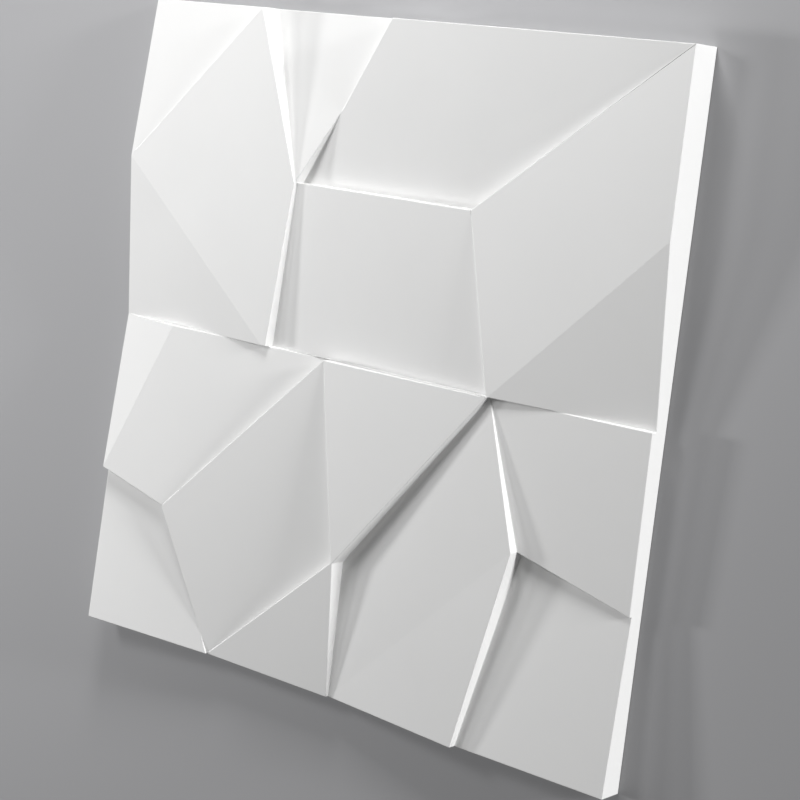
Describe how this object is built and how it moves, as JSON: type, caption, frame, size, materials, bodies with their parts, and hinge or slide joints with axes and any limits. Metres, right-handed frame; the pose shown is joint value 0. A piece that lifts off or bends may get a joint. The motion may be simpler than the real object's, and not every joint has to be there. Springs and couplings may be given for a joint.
{
  "type": "3d wall panel tile",
  "caption": "Square faceted relief panel of cast plaster, with sharp creases, stepped facets and a flat back for bonding to a wall.",
  "frame": {"origin": "centre of the flat back face", "axes": "+Z out of the wall through the relief, +Y towards the panel's top edge, +X to its right; it lies on its back with the relief up"},
  "size_m": [0.5, 0.5, 0.028],
  "materials": {
    "panel": "matte white cast gypsum plaster, primed and smooth"
  },
  "bodies": {
    "root": {"wall_panel": "panel"}
  },
  "joints": []
}
